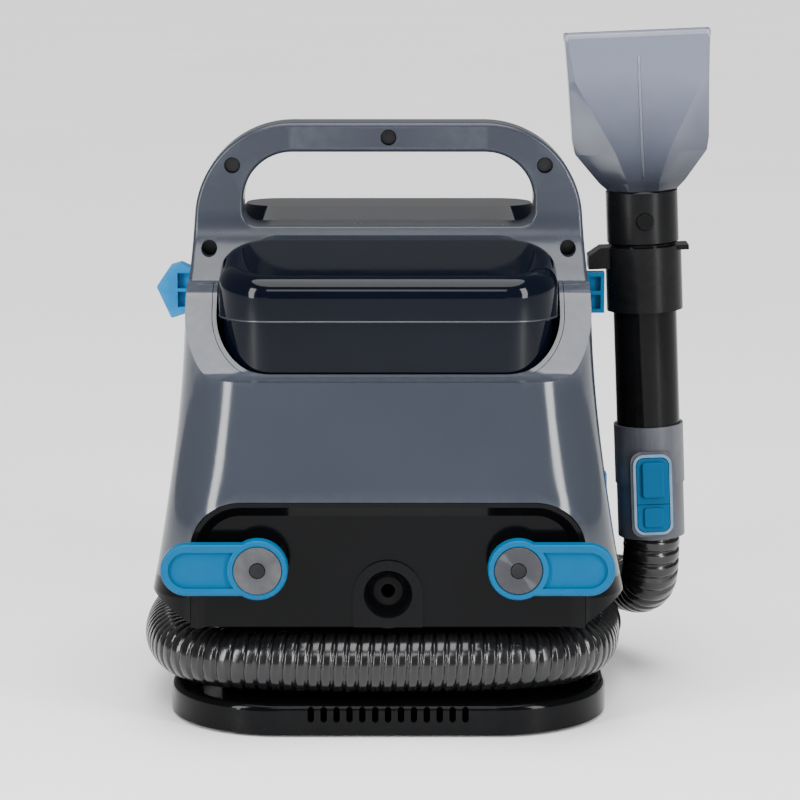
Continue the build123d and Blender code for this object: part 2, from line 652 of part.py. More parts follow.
# ------------------------------------------------------------------ clean-water tank
cap_low = tank_floor + 1.0
rear_tank_floor = cap_low + filler_height + gap
with BuildPart() as water_tank:
    add(block(tank_width, rear_tank_depth, tank_corner, rear_tank_floor, rear_lid_line, rear_tank_y))
    fillet(water_tank.faces().sort_by(Axis.Z)[0].edges(), radius=5)
    add(block(tank_width - 2 * thin_wall, rear_tank_depth - 2 * thin_wall, tank_corner - thin_wall,
              rear_tank_floor + thin_wall, rear_lid_line, rear_tank_y), mode=Mode.SUBTRACT)
    add(disc(Plane.XY.offset(rear_tank_floor), filler_neck + gap, thin_wall, 0, valve_spots),
        mode=Mode.SUBTRACT)
save(water_tank, "water_tank")

with BuildPart() as filler_cap:
    add(disc(Plane.XY.offset(cap_low), filler_radius, filler_height, 0, valve_spots))
    with BuildSketch(Plane.XY.offset(cap_low)):
        with Locations(*valve_spots):
            with PolarLocations(filler_radius + cap_grip_radius / 2, cap_grips):
                Circle(cap_grip_radius)
    extrude(amount=filler_height, mode=Mode.SUBTRACT)
    add(disc(Plane.XY.offset(cap_low), filler_neck, filler_height + filler_lap, 0, valve_spots))
    add(disc(Plane.XY.offset(cap_low + wall), filler_neck - thin_wall, 4 * filler_height, 0, valve_spots),
        mode=Mode.SUBTRACT)
    add(disc(Plane.XY.offset(cap_low), valve_head, valve_seat, 0, valve_spots))
    add(disc(Plane.XY.offset(cap_low), valve_stem + gap, 4 * filler_height, 0, valve_spots),
        mode=Mode.SUBTRACT)
save(filler_cap, "filler_cap")

with BuildPart() as cap_seal:
    add(disc(Plane.XY.offset(cap_low + filler_height), filler_radius - 2.6, gap, filler_neck + gap,
             valve_spots))
save(cap_seal, "cap_seal")

with BuildPart() as valve_plunger:
    add(disc(Plane.XY.offset(cap_low + valve_lift), valve_stem, valve_seat + wall, 0, valve_spots))
    add(disc(Plane.XY.offset(cap_low + valve_travel), valve_head - 1, wall, 0, valve_spots))
save(valve_plunger, "valve_plunger")

with BuildPart() as water_lid:
    add(block(lid_width, rear_lid_depth, lid_corner, rear_lid_line, rear_lid_top, rear_tank_y))
    chamfer(water_lid.faces().sort_by(Axis.Z)[-1].edges(), length=rear_lid_round)
    add(block(lid_width - 2 * thin_wall, rear_lid_depth - 2 * thin_wall, lid_corner - thin_wall,
              rear_lid_line, rear_lid_top - rear_lid_round - thin_wall, rear_tank_y), mode=Mode.SUBTRACT)
    add(block(lid_width - thin_wall, rear_lid_depth - thin_wall, lid_corner - thin_wall / 2,
              rear_lid_line, rear_lid_line + thin_wall, rear_tank_y)
        - block(tank_width - 4 * thin_wall, rear_tank_depth - 4 * thin_wall, tank_corner - 2 * thin_wall,
                rear_lid_line, rear_lid_line + thin_wall, rear_tank_y))
save(water_lid, "water_lid")

# ------------------------------------------------------------------ motor, fan, pump and ducts
motor_spot = [(motor_x, motor_y)]
end_plate = 4.0
bearing_radius, bearing_height = 11.0, 6.0
with BuildPart() as motor_case:
    add(disc(Plane.XY.offset(motor_low), motor_radius, motor_high - motor_low - end_plate,
             motor_radius - wall, motor_spot))
    add(disc(Plane.XY.offset(motor_low), motor_radius, end_plate, bearing_radius, motor_spot))
save(motor_case, "motor_case")
with BuildPart() as motor_cover:
    add(disc(Plane.XY.offset(motor_high - end_plate), motor_radius, end_plate, bearing_radius, motor_spot))
save(motor_cover, "motor_cover")
with BuildPart() as motor_bearings:
    add(disc(Plane.XY.offset(motor_low), bearing_radius, bearing_height, shaft_radius + running, motor_spot))
    add(disc(Plane.XY.offset(motor_high - bearing_height), bearing_radius, bearing_height,
             shaft_radius + running, motor_spot))
save(motor_bearings, "motor_bearings")
with BuildPart() as motor_stator:
    add(disc(Plane.XY.offset(motor_low + 10), motor_radius - wall, motor_high - motor_low - 20, 27.0,
             motor_spot))
    with Locations((motor_x, motor_y, motor_low + 10)):
        with PolarLocations(29, 6):
            Cylinder(4.5, motor_high - motor_low - 20, align=(Align.CENTER, Align.CENTER, Align.MIN),
                     mode=Mode.SUBTRACT)
save(motor_stator, "motor_stator")
with BuildPart() as motor_mount:
    add(disc(Plane.XY.offset(foot_bottom + wall), motor_radius - 4, motor_low - foot_bottom - wall,
             motor_radius - 14, motor_spot))
save(motor_mount, "motor_mount")
fan_low = motor_high
fan_high = fan_low + fan_case_height
with BuildPart() as motor_rotor:
    add(disc(Plane.XY.offset(motor_low + 1), shaft_radius, fan_high - motor_low - 5, 0, motor_spot))
    add(disc(Plane.XY.offset(motor_low + 14), 23.0, motor_high - motor_low - 28, 0, motor_spot))
save(motor_rotor, "motor_rotor")
with BuildPart() as fan_case:
    add(disc(Plane.XY.offset(fan_low), fan_case_radius, fan_case_height, 0, motor_spot))
    add(disc(Plane.XY.offset(fan_low + thin_wall), fan_case_radius - thin_wall,
             fan_case_height - 2 * thin_wall, 0, motor_spot), mode=Mode.SUBTRACT)
    add(disc(Plane.XY.offset(fan_low), shaft_radius + 2, thin_wall, 0, motor_spot), mode=Mode.SUBTRACT)
    add(disc(Plane.XY.offset(fan_high - thin_wall), 16.0, thin_wall, 0, motor_spot), mode=Mode.SUBTRACT)
    with BuildSketch(Plane.XY.offset(fan_low)):
        with Locations((motor_x, motor_y)):
            with PolarLocations(36, 8):
                Rectangle(5, 14)
    extrude(amount=thin_wall, mode=Mode.SUBTRACT)
save(fan_case, "fan_case")
with BuildPart() as fan_impeller:
    add(disc(Plane.XY.offset(fan_low + 5), fan_radius - 1.5, 2.0, shaft_radius, motor_spot))
    add(disc(Plane.XY.offset(fan_low + 5), 9.0, 12.0, shaft_radius, motor_spot))
    with BuildSketch(Plane.XY.offset(fan_low + 7)):
        with Locations((motor_x, motor_y)):
            with PolarLocations(25.5, 9):
                Rectangle(32, 1.6, rotation=20)
    extrude(amount=9.0)
save(fan_impeller, "fan_impeller")

duct_x, duct_width, duct_depth, duct_top = -34.0, 60.0, 26.0, 250.0
duct_y = (front_tank_y + front_well_depth / 2 + rear_tank_y - rear_well_depth / 2) / 2
with BuildPart() as air_duct:
    for inset, mode in ((0, Mode.ADD), (2.0, Mode.SUBTRACT)):
        with BuildSketch(Plane.XY.offset(fan_high)):
            with Locations((duct_x, duct_y)):
                RectangleRounded(duct_width - 2 * inset, duct_depth - 2 * inset, 5 - inset)
        extrude(amount=duct_top - fan_high, mode=mode)
save(air_duct, "air_duct")

pipe_x, pipe_radius = 82.0, 12.5
with BuildPart() as inlet_pipe:
    add(disc(Plane.XY.offset(hose_z - 20), pipe_radius, duct_top - hose_z + 20, 0, [(pipe_x, port_y)]))
    with BuildSketch(Plane.YZ.offset(pipe_x)):
        with Locations((port_y, hose_z)):
            Circle(pipe_radius)
    extrude(amount=elbow_reach - pipe_x)
    add(disc(Plane.XY.offset(hose_z - 18), pipe_radius - 2, duct_top, 0, [(pipe_x, port_y)]),
        mode=Mode.SUBTRACT)
    with BuildSketch(Plane.YZ.offset(pipe_x)):
        with Locations((port_y, hose_z)):
            Circle(pipe_radius - 2)
    extrude(amount=elbow_reach - pipe_x, mode=Mode.SUBTRACT)
save(inlet_pipe, "inlet_pipe")

pump_spot = [(pump_x, pump_y)]
with BuildPart() as pump_body:
    add(disc(Plane.XY.offset(foot_bottom + wall), 20.0, 34.0, 0, pump_spot))
    add(disc(Plane.XY.offset(foot_bottom + wall + 34), 15.0, 16.0, 0, pump_spot))
    add(disc(Plane.XY.offset(foot_bottom + wall + 50), 4.0, 6.0, 2.0, pump_spot))
save(pump_body, "pump_body")

socket_x, socket_y = valve_spots[0]
tube_low = foot_bottom + wall + 56
with BuildPart() as water_tube:
    with BuildLine():
        FilletPolyline(
            (pump_x, pump_y, tube_low),
            (pump_x, pump_y, tube_low + 22),
            (socket_x, socket_y, tube_low + 24),
            (socket_x, socket_y, well_floor - socket_depth),
            radius=[9.0, 9.0],
        )
    with BuildSketch(Plane.XY.offset(tube_low)):
        with Locations((pump_x, pump_y)):
            Circle(4.0)
            Circle(2.5, mode=Mode.SUBTRACT)
    sweep()
save(water_tube, "water_tube")

with BuildPart() as control_board:
    with Locations((20, 66, foot_bottom + wall + 28)):
        Box(70, 1.6, 50)
    with Locations((0, 63.2, foot_bottom + wall + 30), (30, 63.2, foot_bottom + wall + 30)):
        Box(12, 4, 16)
save(control_board, "control_board")

# ------------------------------------------------------------------ power switch
rocker_half, rocker_lift, rocker_play = rocker_height / 2, 3.2, 0.9
with BuildPart() as switch_bezel:
    with BuildSketch(switch_plane.offset(-wall)):
        RectangleRounded(bezel_width, bezel_height, 3.8)
        Rectangle(rocker_width + 2 * rocker_play, rocker_height + 4 * rocker_play, mode=Mode.SUBTRACT)
    extrude(amount=wall + 1.4)
save(switch_bezel, "switch_bezel")

with BuildPart() as rocker:
    with BuildSketch(Plane(origin=switch_plane.from_local_coords(Vector(-rocker_width / 2, 0, 0)),
                           x_dir=switch_plane.y_dir, z_dir=switch_plane.x_dir)):
        with BuildLine():
            Polyline(
                (-rocker_half, 1.2),
                (0, 1.8),
                (rocker_half, 1.2 + rocker_lift),
                (rocker_half - 0.6, -1.5),
                (5, -6),
                (-5, -6),
                (0.6 - rocker_half, -1.5),
                close=True,
            )
        make_face()
    extrude(amount=rocker_width)
save(rocker, "rocker")

with BuildPart() as switch_body:
    with BuildSketch(switch_plane.offset(-14.0)):
        Rectangle(rocker_width + 8, rocker_height + 8)
    extrude(amount=11.0 - gap)
    with BuildSketch(switch_plane.offset(-9.0)):
        Rectangle(rocker_width + 2 * rocker_play, rocker_height + 4 * rocker_play)
    extrude(amount=9.0, mode=Mode.SUBTRACT)
save(switch_body, "switch_body")

# ------------------------------------------------------------------ tool brackets
flange_x = top_width / 2 + 0.4
spool_mid = (bracket_low + bracket_high) / 2
spool_height = bracket_high - bracket_low
with BuildPart() as wand_bracket:
    with BuildSketch(front_plane(bracket_y + spool_depth / 2)):
        with Locations((flange_x, spool_mid)):
            Rectangle(2 * spool_sheet, spool_height)
        with Locations((flange_x + spool_reach, spool_mid)):
            Rectangle(spool_sheet, spool_height)
        with Locations((flange_x + spool_reach / 2, spool_mid)):
            with GridLocations(0, (spool_height - spool_sheet) / 2, 1, 3):
                Rectangle(spool_reach, spool_sheet)
    extrude(amount=spool_depth)
    with BuildSketch(front_plane(bracket_y + spool_sheet / 2)):
        with Locations((flange_x + spool_reach / 2, spool_mid)):
            Rectangle(spool_reach, spool_height)
    extrude(amount=spool_sheet)
    add(body_solid, mode=Mode.SUBTRACT)
save(wand_bracket, "wand_bracket")

with BuildPart() as spare_bracket:
    with BuildSketch(front_plane(bracket_y + hanger_depth / 2)):
        with BuildLine():
            Polyline(
                (-flange_x, bracket_high + 3),
                (-flange_x - 6.5, bracket_high + 6),
                (-flange_x - 13, bracket_high + 4),
                (-flange_x - hanger_reach, spool_mid + 4),
                (-flange_x - 12.5, bracket_low - 3),
                (-flange_x + 2, bracket_low + 2),
                close=True,
            )
        make_face()
    extrude(amount=hanger_depth)
    fillet(spare_bracket.edges().filter_by(Axis.Y), radius=1.5)
    for face_y, way in ((bracket_y - hanger_depth / 2, -1), (bracket_y + hanger_depth / 2, 1)):
        with BuildSketch(front_plane(face_y)):
            with Locations((-flange_x - hanger_cell / 2, spool_mid + 2)):
                with GridLocations(0, spool_height / 2 - 1, 1, 2):
                    Rectangle(hanger_cell, spool_height / 2 - 3)
        extrude(amount=way * hanger_depth / 3, mode=Mode.SUBTRACT)
    add(body_solid, mode=Mode.SUBTRACT)
save(spare_bracket, "spare_bracket")

# ------------------------------------------------------------------ hand tool
def wand_disc(low, high, radius, bore=0.0):
    """A round ring about the hand tool's axis between two heights along it."""
    return disc(wand.offset(low), radius, high - low, bore)


hose_end = 15.0
socket_floor = cuff_height - tube_socket
pocket_floor, button_back = 20.6, 22.4
latch_width, latch_height = frame_width - 2 * frame_band, frame_height - 2 * frame_band


def latch_plate_sketch(low, high):
    """The part of the latch's rounded outline between two heights, with play all round."""
    with BuildSketch(mode=Mode.PRIVATE) as outline:
        RectangleRounded(latch_width - 2 * gap, latch_height - 2 * gap, latch_corner)
        with Locations((0, (low + high) / 2)):
            Rectangle(latch_width, high - low, mode=Mode.INTERSECT)
    return outline.sketch


with BuildPart() as hose_cuff:
    add(wand_disc(0, cuff_step, cuff_low_radius))
    add(wand_disc(cuff_step, cuff_height, cuff_radius))
    with BuildSketch(wand_front(pad_mid)):
        RectangleRounded(pad_width, pad_height, latch_corner + 2)
    extrude(amount=pad_reach)
    with BuildSketch(wand_front(pad_mid, -pocket_floor)):
        RectangleRounded(latch_width, latch_height, latch_corner)
    extrude(amount=cuff_radius, mode=Mode.SUBTRACT)
    add(wand_disc(0, hose_end, hose_radius + 0.3), mode=Mode.SUBTRACT)
    add(wand_disc(0, cuff_height, hose_bore), mode=Mode.SUBTRACT)
    add(wand_disc(socket_floor, cuff_height, tube_radius + socket_play), mode=Mode.SUBTRACT)
save(hose_cuff, "hose_cuff")

with BuildPart() as cuff_frame:
    with BuildSketch(wand_front(pad_mid, -pad_reach)):
        RectangleRounded(frame_width, frame_height, latch_corner + frame_band)
        RectangleRounded(latch_width, latch_height, latch_corner, mode=Mode.SUBTRACT)
    extrude(amount=frame_thickness)
save(cuff_frame, "cuff_frame")

with BuildPart() as trigger_pad:
    with BuildSketch(wand_front(pad_mid, -button_back)):
        add(latch_plate_sketch(latch_split + gap / 2, latch_height))
    extrude(amount=latch_plate - 1.4)
    with BuildSketch(wand_front(pad_mid, -button_back)):
        with Locations((0, trigger_up)):
            RectangleRounded(trigger_width, trigger_height, 2)
    extrude(amount=latch_plate + 1.0)
    fillet(trigger_pad.faces().sort_by(Axis.Y)[0].edges(), radius=1.0)
save(trigger_pad, "trigger_pad")

with BuildPart() as lock_button:
    with BuildSketch(wand_front(pad_mid, -button_back)):
        add(latch_plate_sketch(-latch_height, latch_split - gap / 2))
    extrude(amount=latch_plate - 1.4)
    with BuildSketch(wand_front(pad_mid, -button_back)):
        with Locations((0, -lock_down)):
            RectangleRounded(lock_size, lock_size, 2)
    extrude(amount=latch_plate)
    fillet(lock_button.faces().sort_by(Axis.Y)[0].edges(), radius=0.8)
save(lock_button, "lock_button")

tube_top = neck_low + neck_lap
with BuildPart() as wand_tube:
    add(wand_disc(socket_floor + gap, tube_top, tube_radius, tube_radius - tube_wall))
save(wand_tube, "wand_tube")

collar_high = collar_low + collar_height
tongue_low = bracket_high + 3.0 - wand_z
tongue_reach = along_wand(tongue_low).X - flange_x - 2.0
with BuildPart() as wand_collar:
    add(wand_disc(collar_low, collar_high, collar_radius))
    with BuildSketch(wand_front(0, spool_depth)):
        with BuildLine():
            Polyline(
                (0, tongue_low),
                (-tongue_reach, tongue_low),
                (-tongue_reach, collar_high - 5),
                (8 - tongue_reach, collar_high),
                (collar_radius + 4, collar_high),
                (collar_radius + 4, collar_high - 3),
                (0, collar_high - 3),
                close=True,
            )
        make_face()
    extrude(amount=2 * spool_depth)
    add(wand_disc(0, 2 * collar_high, tube_radius + 0.35), mode=Mode.SUBTRACT)
save(wand_collar, "wand_collar")

neck_high = neck_low + neck_height
button_mid = neck_low + button_up
with BuildPart() as nozzle_neck:
    add(wand_disc(neck_low, neck_high, neck_radius))
    chamfer(nozzle_neck.edges().filter_by(GeomType.CIRCLE), length=1.2)
    add(wand_disc(neck_low, neck_high, hose_bore), mode=Mode.SUBTRACT)
    add(wand_disc(neck_low, tube_top, tube_radius + socket_play), mode=Mode.SUBTRACT)
    with BuildSketch(wand_front(button_mid)):
        Circle(button_radius + gap)
    extrude(amount=2 * neck_radius, mode=Mode.SUBTRACT)
save(nozzle_neck, "nozzle_neck")

with BuildPart() as neck_button:
    with BuildSketch(wand_front(button_mid, -tube_radius - 1.5)):
        Circle(button_radius)
    extrude(amount=neck_radius - tube_radius)
    fillet(neck_button.faces().sort_by(Axis.Y)[0].edges(), radius=0.6)
save(neck_button, "neck_button")


def nozzle_form(inset):
    """The flared nozzle as a closed solid, inset all round. Each eight-sided section has a height,
    half its width and depth, and half the widths of its front and side faces."""
    sections = [
        (0, neck_radius - 1, neck_radius - 1, 9.0, 9.0),
        (5, 26.5, 20.5, 9.5, 8.0),
        (23, 40.5, 17.5, 16.0, 7.0),
        (31, 42.0, 16.0, 20.0, 6.5),
        (68, 43.2, 11.5, 39.5, 6.5),
        (nozzle_length, nozzle_mouth_width / 2, nozzle_mouth_depth / 2, 43.0, 6.0),
    ]
    with BuildPart(mode=Mode.PRIVATE) as form:
        for height, half_width, half_depth, front_half, side_half in sections:
            w, d = half_width - inset, half_depth - inset
            f, e = front_half - inset / 2, side_half - inset / 2
            with BuildSketch(wand.offset(neck_high + height)):
                Polygon((-f, -d), (f, -d), (w, -e), (w, e), (f, d), (-f, d), (-w, e), (-w, -e), align=None)
        loft(ruled=True)
    return form.part


with BuildPart() as nozzle:
    add(nozzle_form(0))
    add(nozzle_form(nozzle_wall), mode=Mode.SUBTRACT)
save(nozzle, "nozzle")

with BuildPart() as spray_tube:
    with Locations(wand.offset(neck_high)):
        with Locations((0, -6, 0)):
            Cylinder(2.0, nozzle_length - 30, align=(Align.CENTER, Align.CENTER, Align.MIN))
save(spray_tube, "spray_tube")

# ------------------------------------------------------------------ hose
hose_end_point = along_wand(hose_end)
hose_bend_point = along_wand(-18.0)
hose_points = [
    (port_x, port_mouth_y, hose_z),
    (port_x, port_mouth_y - 50, hose_z),
    (98, -103, 42.5),
    (44, -114, 43.5),
    (-54, -113, 43),
    (-112, -98, 42),
    (-134, -44, 41),
    (-132, 38, 41),
    (-112, 96, 40),
    (-54, 117, 39),
    (40, 118, 39),
    (112, 106, 43),
    (150, 76, 48),
    (164, 39, 52),
    (hose_bend_point.X, hose_bend_point.Y, hose_bend_point.Z),
    (hose_end_point.X, hose_end_point.Y, hose_end_point.Z),
]
hose_vectors = [Vector(*point) for point in hose_points]
hose_radii = []
for before, at, after in zip(hose_vectors, hose_vectors[1:], hose_vectors[2:]):
    shorter = min((at - before).length, (after - at).length)
    half_turn = radians((at - before).get_angle(after - at) / 2)
    hose_radii.append(0.45 * shorter / tan(half_turn))
print("hose bend radii, mm:", [round(radius) for radius in hose_radii])

with BuildPart() as hose:
    with BuildLine() as hose_path:
        FilletPolyline(*hose_points, radius=hose_radii)
    with BuildSketch(front_plane(port_mouth_y)):
        with Locations((port_x, hose_z)):
            Circle(hose_radius)
    sweep()
save(hose, "hose")
hose_length = sum(edge.length for edge in hose_path.edges())
section_volume = pi * hose_radius**2 * hose_length
print("hose length, mm:", round(hose_length))
print("volume against section times length:", round(hose.part.volume / section_volume, 4))
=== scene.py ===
# Portable carpet spot cleaner: camera, materials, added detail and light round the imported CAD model.
import json
from math import cos, pi, radians, sin

import bpy
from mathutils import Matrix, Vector


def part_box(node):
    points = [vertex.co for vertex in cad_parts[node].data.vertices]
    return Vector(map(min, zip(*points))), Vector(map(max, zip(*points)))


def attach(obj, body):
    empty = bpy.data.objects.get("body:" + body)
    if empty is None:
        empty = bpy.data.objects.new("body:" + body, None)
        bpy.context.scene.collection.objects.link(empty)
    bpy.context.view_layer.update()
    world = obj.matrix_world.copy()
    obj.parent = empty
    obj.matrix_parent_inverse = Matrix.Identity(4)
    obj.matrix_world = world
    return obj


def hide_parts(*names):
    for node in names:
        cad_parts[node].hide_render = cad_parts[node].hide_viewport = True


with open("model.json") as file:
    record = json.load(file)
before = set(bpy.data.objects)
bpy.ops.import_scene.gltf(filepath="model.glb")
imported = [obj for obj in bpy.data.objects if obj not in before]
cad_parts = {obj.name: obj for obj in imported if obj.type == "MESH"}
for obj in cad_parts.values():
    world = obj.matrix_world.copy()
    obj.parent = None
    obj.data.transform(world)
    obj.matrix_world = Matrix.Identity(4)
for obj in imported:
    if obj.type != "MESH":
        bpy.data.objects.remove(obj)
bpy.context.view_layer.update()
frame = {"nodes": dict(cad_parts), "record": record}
nodes = frame["nodes"]
ROOT = "machine"
MM = 0.001

# ------------------------------------------------------------------ camera
CAMERA_TARGET = Vector((0.007, 0.0, 0.195))
CAMERA_DISTANCE = 1.95
CAMERA_ELEVATION = radians(9.5)
CAMERA_LENS = 141.75
CAMERA_SHIFT_Y = -0.0286


def add_camera():
    """A long lens from just above the front, as for a catalogue picture."""
    data = bpy.data.cameras.new("camera")
    data.lens = CAMERA_LENS
    data.sensor_width = 36.0
    data.shift_y = CAMERA_SHIFT_Y
    data.clip_start = 0.05
    data.clip_end = 40.0
    camera = bpy.data.objects.new("camera", data)
    bpy.context.scene.collection.objects.link(camera)
    away = Vector((0.0, -cos(CAMERA_ELEVATION), sin(CAMERA_ELEVATION)))
    camera.location = CAMERA_TARGET + away * CAMERA_DISTANCE
    camera.rotation_euler = (-away).to_track_quat("-Z", "Y").to_euler()
    bpy.context.scene.camera = camera


add_camera()


# ------------------------------------------------------------------ mesh helpers
def new_object(name, mesh):
    piece = bpy.data.objects.new(name, mesh)
    bpy.context.scene.collection.objects.link(piece)
    return piece


def mesh_from(name, vertices, faces):
    mesh = bpy.data.meshes.new(name)
    mesh.from_pydata([tuple(v) for v in vertices], [], faces)
    mesh.update()
    mesh.shade_smooth()
    return new_object(name, mesh)


def bridge_rings(rings, cap=True):
    """Vertices and quads that join rings of equal count, with the end rings closed if cap is true."""
    count = len(rings[0])
    vertices = [v for ring in rings for v in ring]
    faces = []
    for i in range(len(rings) - 1):
        for j in range(count):
            k = (j + 1) % count
            faces.append((i * count + j, i * count + k, (i + 1) * count + k, (i + 1) * count + j))
    if cap:
        faces.append(tuple(reversed(range(count))))
        faces.append(tuple((len(rings) - 1) * count + j for j in range(count)))
    return vertices, faces


def round_corners(half_x, half_y, corner, steps):
    """Points round a rounded rectangle: each corner's centre, then the way out of it."""
    for cx, cy, start in ((1, 1, 0), (-1, 1, 90), (-1, -1, 180), (1, -1, 270)):
        for k in range(steps + 1):
            angle = radians(start + 90.0 * k / steps)
            yield cx * (half_x - corner), cy * (half_y - corner), cos(angle), sin(angle)


# ------------------------------------------------------------------ the hose
HOSE_RADIUS = 0.0178
HOSE_GROOVE = 0.0021
HOSE_PITCH = 0.0072
HOSE_SIDES = 36
HOSE_STEPS_PER_RIB = 10
GROOVE_HALF, GROOVE_POWER = 0.17, 0.7  # half the groove's width, as a share of a rib
RIDGE_HALF, RIDGE_HEIGHT, CROWN_DIP = 0.05, 0.55, 0.08  # heights as shares of the groove's depth
HOSE_ROUTE = [
    (0.1255, -0.008, 0.041), (0.1255, -0.058, 0.041), (0.098, -0.103, 0.0425), (0.044, -0.114, 0.0435),
    (-0.054, -0.113, 0.043), (-0.112, -0.098, 0.042), (-0.134, -0.044, 0.041), (-0.132, 0.038, 0.041),
    (-0.112, 0.096, 0.040), (-0.054, 0.117, 0.039), (0.040, 0.118, 0.039), (0.112, 0.106, 0.043),
    (0.150, 0.076, 0.048), (0.164, 0.039, 0.052), (0.165954, 0.015, 0.075016), (0.164572, 0.015, 0.107987),
]


def route_points(route):
    """Points along the smooth NURBS line whose control points are the route."""
    curve = bpy.data.curves.new("hose_line", "CURVE")
    curve.dimensions = "3D"
    curve.resolution_u = 40
    spline = curve.splines.new("NURBS")
    spline.points.add(len(route) - 1)
    for point, place in zip(spline.points, route):
        point.co = (*place, 1.0)
    spline.order_u = 3
    spline.use_endpoint_u = True
    line = bpy.data.objects.new("hose_line", curve)
    bpy.context.scene.collection.objects.link(line)
    bpy.context.view_layer.update()
    mesh = bpy.data.meshes.new_from_object(line)
    points = [v.co.copy() for v in mesh.vertices]
    bpy.data.objects.remove(line)
    bpy.data.meshes.remove(mesh)
    return points


def even_points(points, step):
    """The same line with its points a step apart, and the line's length."""
    lengths = [0.0]
    for a, b in zip(points, points[1:]):
        lengths.append(lengths[-1] + (b - a).length)
    total = lengths[-1]
    count = max(2, round(total / step))
    result, k = [], 0
    for i in range(count + 1):
        target = total * i / count
        while k < len(points) - 2 and lengths[k + 1] < target:
            k += 1
        span = max(lengths[k + 1] - lengths[k], 1e-9)
        result.append(points[k].lerp(points[k + 1], (target - lengths[k]) / span))
    return result, total


def rib_profile(phase):
    """The hose wall's depth along one rib, from 0 at the crest to 1 in the groove."""
    from_groove = abs(phase % 1.0 - 0.5)
    groove = max(0.0, 1.0 - from_groove / GROOVE_HALF)
    ridge = max(0.0, 1.0 - from_groove / RIDGE_HALF)
    crown = (2 * (0.5 - from_groove)) ** 2
    return groove ** GROOVE_POWER - RIDGE_HEIGHT * ridge + CROWN_DIP * crown


def make_hose():
    """A spirally ribbed hose that follows the route."""
    line = route_points(HOSE_ROUTE)
    centres, total = even_points(line, HOSE_PITCH / HOSE_STEPS_PER_RIB)
    rings = []
    side = Vector((0.0, 0.0, 1.0))
    for i, centre in enumerate(centres):
        ahead = centres[min(i + 1, len(centres) - 1)] - centres[max(i - 1, 0)]
        ahead.normalize()
        side = (side - ahead * side.dot(ahead)).normalized()
        across = ahead.cross(side)
        along = total * i / (len(centres) - 1)
        ring = []
        for j in range(HOSE_SIDES):
            angle = 2 * pi * j / HOSE_SIDES
            depth = rib_profile(along / HOSE_PITCH + j / HOSE_SIDES)
            radius = HOSE_RADIUS - HOSE_GROOVE * depth
            ring.append(centre + (side * cos(angle) + across * sin(angle)) * radius)
        rings.append(ring)
    vertices, faces = bridge_rings(rings)
    piece = mesh_from("hose_ribbed", vertices, faces)
    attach(piece, ROOT)
    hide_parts("hose")
    return piece


hose = make_hose()


# ------------------------------------------------------------------ nozzle details
WAND_ORIGIN = Vector((165.2, 15.0, 93.0)) * MM
WAND_LEAN = radians(2.4)
WAND_UP = Vector((-sin(WAND_LEAN), 0.0, cos(WAND_LEAN)))
WAND_RIGHT = Vector((cos(WAND_LEAN), 0.0, sin(WAND_LEAN)))
NECK_TOP = 218.0  # along the hand tool, in millimetres
MOUTH_TOP = NECK_TOP + 97.0


def on_wand(x, y, height):
    """A place in the hand tool's own frame, given in millimetres."""
    return WAND_ORIGIN + (WAND_RIGHT * x + Vector((0.0, y, 0.0)) + WAND_UP * height) * MM


LIP_HALF_WIDTH, LIP_HALF_DEPTH, LIP_CORNER, LIP_STEPS = 44.9, 8.3, 3.0, 6
LIP_PROFILE = [  # inwards from the outline, and up from the mouth
    (0.6, -5.2), (0.0, -4.4), (-0.1, -2.0), (0.0, -0.7), (0.7, 0.0),
    (1.9, 0.0), (2.5, -0.7), (2.5, -4.6), (1.7, -5.2),
]
RIB_LINE = [(8, -19.7), (20, -17.9), (31, -16.1), (50, -13.9), (68, -11.7), (82, -9.9)]  # height, y
RIB_SECTION = [(-1.1, -0.6), (-0.7, 0.35), (0.0, 0.6), (0.7, 0.35), (1.1, -0.6)]  # across, and out


def make_nozzle_lip():
    """The rolled rim round the nozzle's mouth, thicker than the wall below it."""
    outline = [(x + LIP_CORNER * dx, y + LIP_CORNER * dy)
               for x, y, dx, dy in round_corners(LIP_HALF_WIDTH, LIP_HALF_DEPTH, LIP_CORNER, LIP_STEPS)]
    rings = []
    for inset, height in LIP_PROFILE:
        narrow, thin = 1 - inset / LIP_HALF_WIDTH, 1 - inset / LIP_HALF_DEPTH
        rings.append([on_wand(x * narrow, y * thin, MOUTH_TOP + height) for x, y in outline])
    rings.append(rings[0])
    vertices, faces = bridge_rings(rings, cap=False)
    piece = mesh_from("nozzle_lip", vertices, faces)
    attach(piece, "nozzle_tool")
    return piece


def make_nozzle_rib():
    """The moulded rib down the middle of the nozzle's front face."""
    rings = []
    for height, y in RIB_LINE:
        rings.append([on_wand(x, y - out, NECK_TOP + height) for x, out in RIB_SECTION])
    vertices, faces = bridge_rings(rings)
    piece = mesh_from("nozzle_rib", vertices, faces)
    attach(piece, "nozzle_tool")
    return piece


# ------------------------------------------------------------------ front lid edge, a painted highlight
LID_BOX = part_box("recovery_lid")
TANK_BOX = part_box("recovery_tank")
LID_CORNER, LID_STEPS = 32.5 * MM, 10
BEAD_OUT, BEAD_UP, BEAD_SIDES = 0.45 * MM, 0.55 * MM, 12
BEAD_SINK, BEAD_RISE = 0.1 * MM, 1.0 * MM  # into the lid's face, and above the tank


